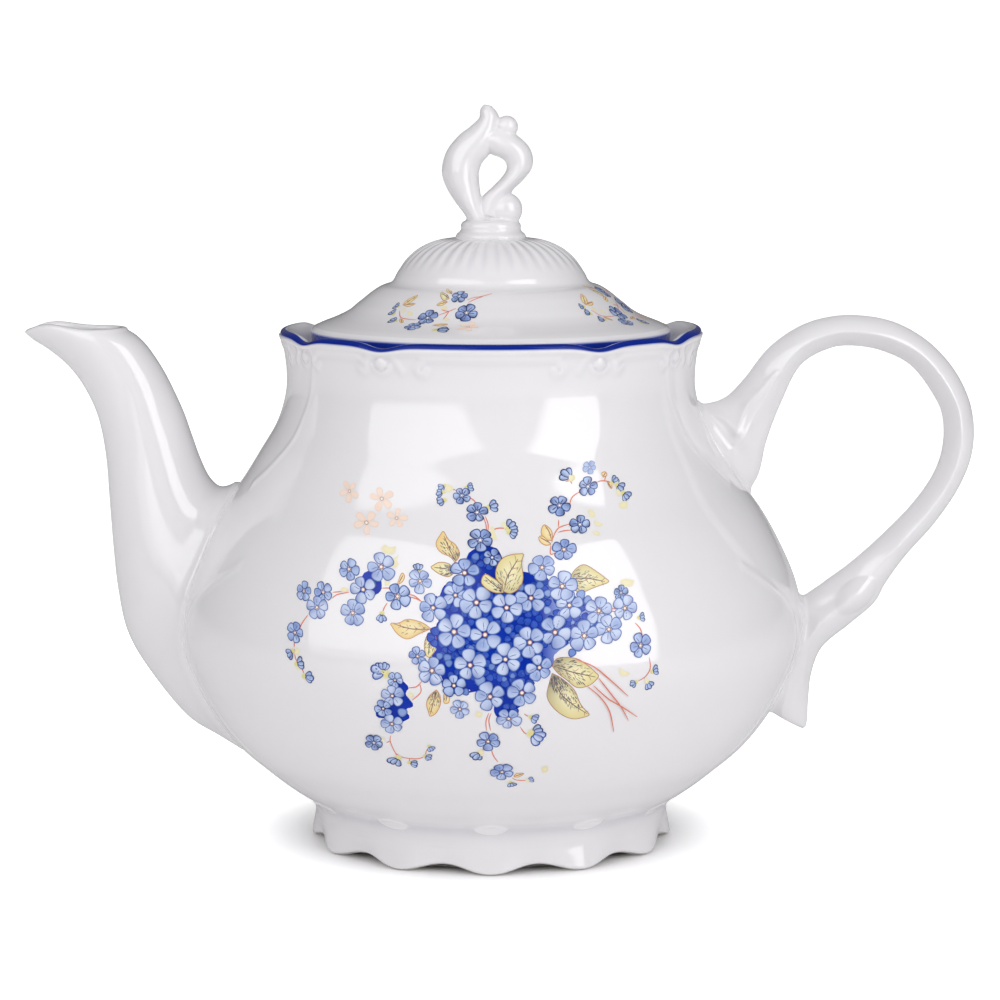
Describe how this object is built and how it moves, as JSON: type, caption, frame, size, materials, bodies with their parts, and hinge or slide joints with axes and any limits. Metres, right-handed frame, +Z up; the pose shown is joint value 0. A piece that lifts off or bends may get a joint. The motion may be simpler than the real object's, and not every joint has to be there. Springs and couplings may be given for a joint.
{
  "type": "porcelain teapot",
  "caption": "Baroque-form white porcelain teapot with a lobed pear-shaped body, scalloped foot, loop handle, S-curved spout and a domed lift-off lid with a scroll knob.",
  "frame": {"origin": "centre of the foot, on the plane that the pot stands on and on the axis of the body", "axes": "+Z up along the axis of the pot and lid, +X towards the handle, -X towards the spout, -Y towards the viewer's side"},
  "size_m": [0.2505, 0.1656, 0.1944],
  "materials": {
    "pot_glaze": "high-gloss transparent glaze over cool white hard porcelain",
    "lid_glaze": "high-gloss transparent glaze over cool white hard porcelain",
    "bare_porcelain": "unglazed, finely ground",
    "cobalt_line": "glossy cobalt blue banding that fades at its lower edge",
    "flower_print": "glossy on-glaze flower transfer in blues, olive and orange-red"
  },
  "bodies": {
    "pot": {"pot_body": "pot_glaze", "foot_ring": "pot_glaze", "spout": "pot_glaze", "handle": "pot_glaze"},
    "lid": {"lid_shell": "lid_glaze", "lid_flange": "lid_glaze", "lid_knob": "lid_glaze"}
  },
  "joints": [
    {"name": "lid_lift", "type": "slide", "parent": "pot", "child": "lid", "axis": [0, 0, 1], "range_m": [0, 0.06]}
  ]
}
